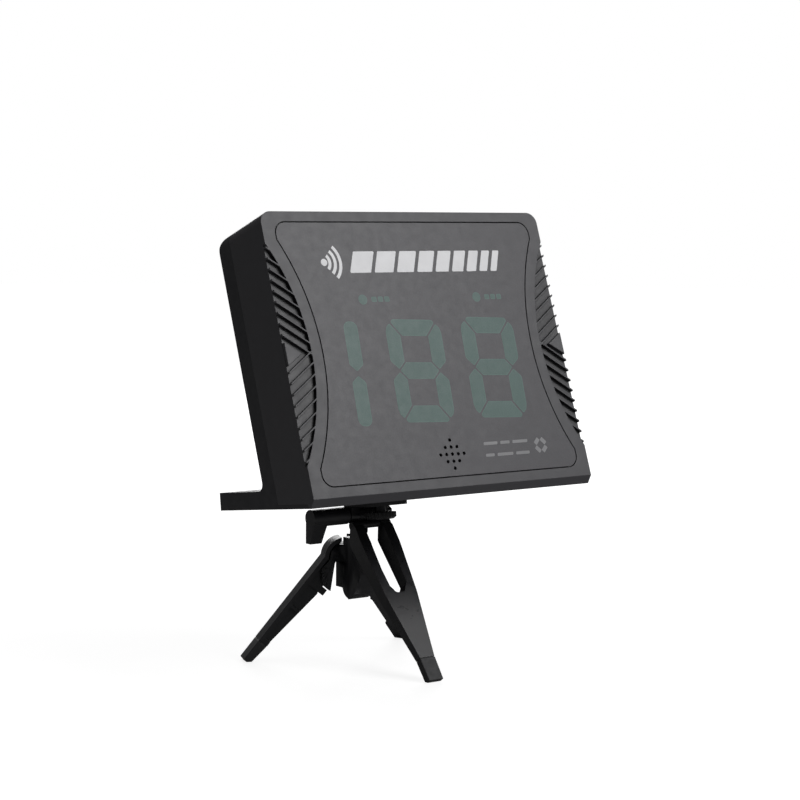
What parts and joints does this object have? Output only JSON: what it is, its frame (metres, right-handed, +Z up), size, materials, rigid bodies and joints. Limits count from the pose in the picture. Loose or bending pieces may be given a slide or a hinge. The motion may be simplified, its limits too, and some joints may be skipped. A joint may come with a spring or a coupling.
{
  "type": "speed radar gun",
  "caption": "Free-standing sports speed radar: a flat display housing with side grips, on a folding mini tripod with a tilting head.",
  "frame": {"origin": "On the ground, under the middle of the whole object.", "axes": "+Z is up, the display faces -Y, and +X is to the display's right-hand side for someone looking at it."},
  "size_m": [0.186, 0.132, 0.2557],
  "materials": {
    "shell_plastic": "fine spark-eroded texture",
    "cover_plastic": "fine spark-eroded texture",
    "window_film": "smoked grey, smooth",
    "tape_black": "adhesive tape",
    "segment_green": "pale green light diffuser, unlit",
    "frame_black": "moulded",
    "board_green": "solder mask",
    "zinc_screw": "zinc plated",
    "insert_brass": "turned",
    "tin_shield": "tinned",
    "cable_grey": "flat cable",
    "switch_metal": "stamped",
    "key_red": "moulded, satin",
    "key_dark": "moulded, satin",
    "speaker_black": "moulded",
    "gasket_foam": "foam",
    "cell_sleeve": "printed sleeve without marks",
    "tripod_plastic": "black, satin sheen",
    "pad_rubber": "matt",
    "screw_steel": "nickel plated",
    "wheel_plastic": "moulded, fluted rim",
    "foot_rubber": "matt"
  },
  "bodies": {
    "tripod": {"tripod_hub": "tripod_plastic", "front_pin": "screw_steel", "left_pin": "screw_steel", "right_pin": "screw_steel"},
    "front_leg": {"front_leg": "tripod_plastic", "front_foot": "foot_rubber"},
    "left_leg": {"left_leg": "tripod_plastic", "left_foot": "foot_rubber"},
    "right_leg": {"right_leg": "tripod_plastic", "right_foot": "foot_rubber"},
    "clamp_lever": {"tilt_lever": "tripod_plastic", "tilt_bolt": "screw_steel"},
    "head": {"head_platform": "tripod_plastic", "platform_pad": "pad_rubber", "tilt_washers": "screw_steel", "tilt_nut": "screw_steel"},
    "lock_screw": {"mounting_screw": "screw_steel", "lock_wheel": "wheel_plastic"},
    "radar": {"front_shell": "shell_plastic", "display_window": "window_film", "window_tape": "tape_black", "rear_cover": "cover_plastic", "shell_screws": "zinc_screw", "threaded_insert": "insert_brass", "digit_left": "segment_green", "digit_middle": "segment_green", "digit_right": "segment_green", "unit_lights": "segment_green", "display_frame": "frame_black", "display_board": "board_green", "board_screws": "zinc_screw", "antenna_board": "board_green", "antenna_shield": "tin_shield", "ribbon_cable": "cable_grey", "button_board": "board_green", "tact_switches": "switch_metal", "speaker": "speaker_black", "speaker_gasket": "gasket_foam", "battery_tray": "frame_black", "batteries": "cell_sleeve", "battery_contacts": "tin_shield"},
    "battery_door": {"battery_door": "cover_plastic"},
    "power_button": {"power_button": "key_red"},
    "unit_button": {"unit_button": "key_dark"},
    "mode_button": {"mode_button": "key_dark"}
  },
  "joints": [
    {"name": "front_leg_fold", "type": "hinge", "parent": "tripod", "child": "front_leg", "pos_m": [0, 0.0167, 0.0792], "axis": [1, 0, 0], "range_deg": [0, 37]},
    {"name": "left_leg_fold", "type": "hinge", "parent": "tripod", "child": "left_leg", "pos_m": [-0.01307, 0.04228, 0.051], "axis": [-0.3746, -0.9272, 0], "range_deg": [0, 39]},
    {"name": "right_leg_fold", "type": "hinge", "parent": "tripod", "child": "right_leg", "pos_m": [0.01307, 0.04228, 0.051], "axis": [-0.3746, 0.9272, 0], "range_deg": [0, 39]},
    {"name": "clamp_turn", "type": "hinge", "parent": "tripod", "child": "clamp_lever", "pos_m": [0, 0.0215, 0.0848], "axis": [1, 0, 0], "range_deg": [0, 90]},
    {"name": "head_tilt", "type": "hinge", "parent": "tripod", "child": "head", "pos_m": [0, 0.0215, 0.0848], "axis": [1, 0, 0], "range_deg": [-25, 7.5]},
    {"name": "lock_screw_turn", "type": "hinge", "parent": "head", "child": "lock_screw", "pos_m": [0, 0.00779, 0.09558], "axis": [0, 0.1305, 0.9914], "continuous": true},
    {"name": "housing_pan", "type": "hinge", "parent": "head", "child": "radar", "pos_m": [0, 0.00779, 0.09558], "axis": [0, 0.1305, 0.9914], "continuous": true},
    {"name": "battery_door_hinge", "type": "hinge", "parent": "radar", "child": "battery_door", "pos_m": [0, -0.01627, 0.11635], "axis": [-1, 0, 0], "range_deg": [0, 85]},
    {"name": "power_press", "type": "slide", "parent": "radar", "child": "power_button", "axis": [0, -0.9403, 0.3404], "range_m": [0, 0.0006], "stiffness_N_per_m": 2000},
    {"name": "unit_press", "type": "slide", "parent": "radar", "child": "unit_button", "axis": [0, -0.9403, 0.3404], "range_m": [0, 0.0006], "stiffness_N_per_m": 2000},
    {"name": "mode_press", "type": "slide", "parent": "radar", "child": "mode_button", "axis": [0, -0.9403, 0.3404], "range_m": [0, 0.0006], "stiffness_N_per_m": 2000}
  ]
}
